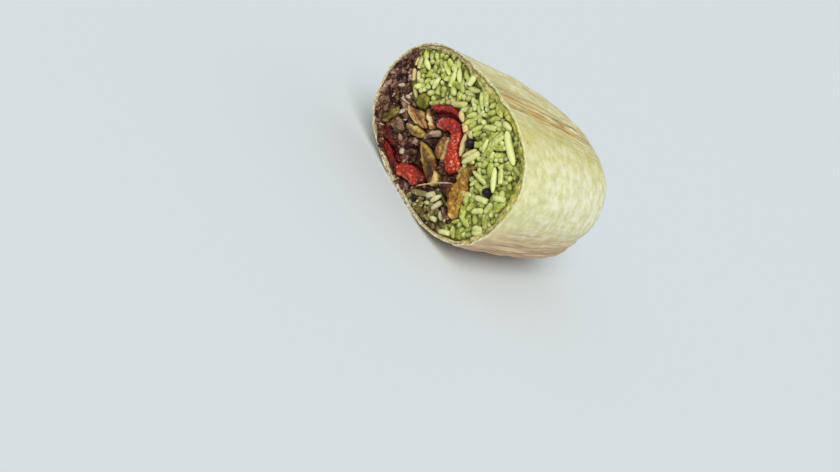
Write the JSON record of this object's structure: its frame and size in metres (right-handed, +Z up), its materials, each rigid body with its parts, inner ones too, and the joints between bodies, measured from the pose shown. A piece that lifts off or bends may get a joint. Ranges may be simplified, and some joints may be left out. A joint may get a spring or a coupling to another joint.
{
  "type": "burrito half",
  "caption": "Half of a burrito cut across: a flour tortilla wrap round rice, bean mash and fried pepper and onion strips, lying on its flat side with the cut face open to view.",
  "frame": {"origin": "centre of the object's bounding box in plan, on the surface that the burrito lies on", "axes": "+Z up; -Y out of the cut face, along the roll; +Y towards the folded end; +X to the right when the cut face is seen from the front"},
  "size_m": [0.093, 0.0876, 0.0593],
  "materials": {
    "tortilla": "matt floury skin, pale yellow with toasted streaks",
    "rice": "moist cooked rice, pale green with herbs and lime",
    "bean_mash": "rough crumbly mash, purple brown",
    "red_pepper": "wet fried skin and flesh, red",
    "yellow_pepper": "soft wet flesh, ochre",
    "green_pepper": "soft wet flesh, olive",
    "onion": "translucent fried onion, tan to yellow brown",
    "bean_lump": "mealy crushed bean, pinkish tan",
    "black_bean": "smooth wet bean skin, black"
  },
  "bodies": {
    "root": {"tortilla": "tortilla", "rice": "rice", "bean_mash": "bean_mash", "red_pepper_curl": "red_pepper", "red_pepper_fold": "red_pepper", "red_pepper_lower": "red_pepper", "red_pepper_edge": "red_pepper", "yellow_pepper": "yellow_pepper", "green_pepper": "green_pepper", "onion_long": "onion", "onion_small": "onion", "onion_centre": "onion", "onion_slanted": "onion", "onion_left": "onion", "onion_yellow": "onion", "onion_corner": "onion", "bean_lump_left": "bean_lump", "bean_lump_middle": "bean_lump", "black_bean_top": "black_bean", "black_bean_right": "black_bean", "black_bean_low": "black_bean"}
  },
  "joints": []
}
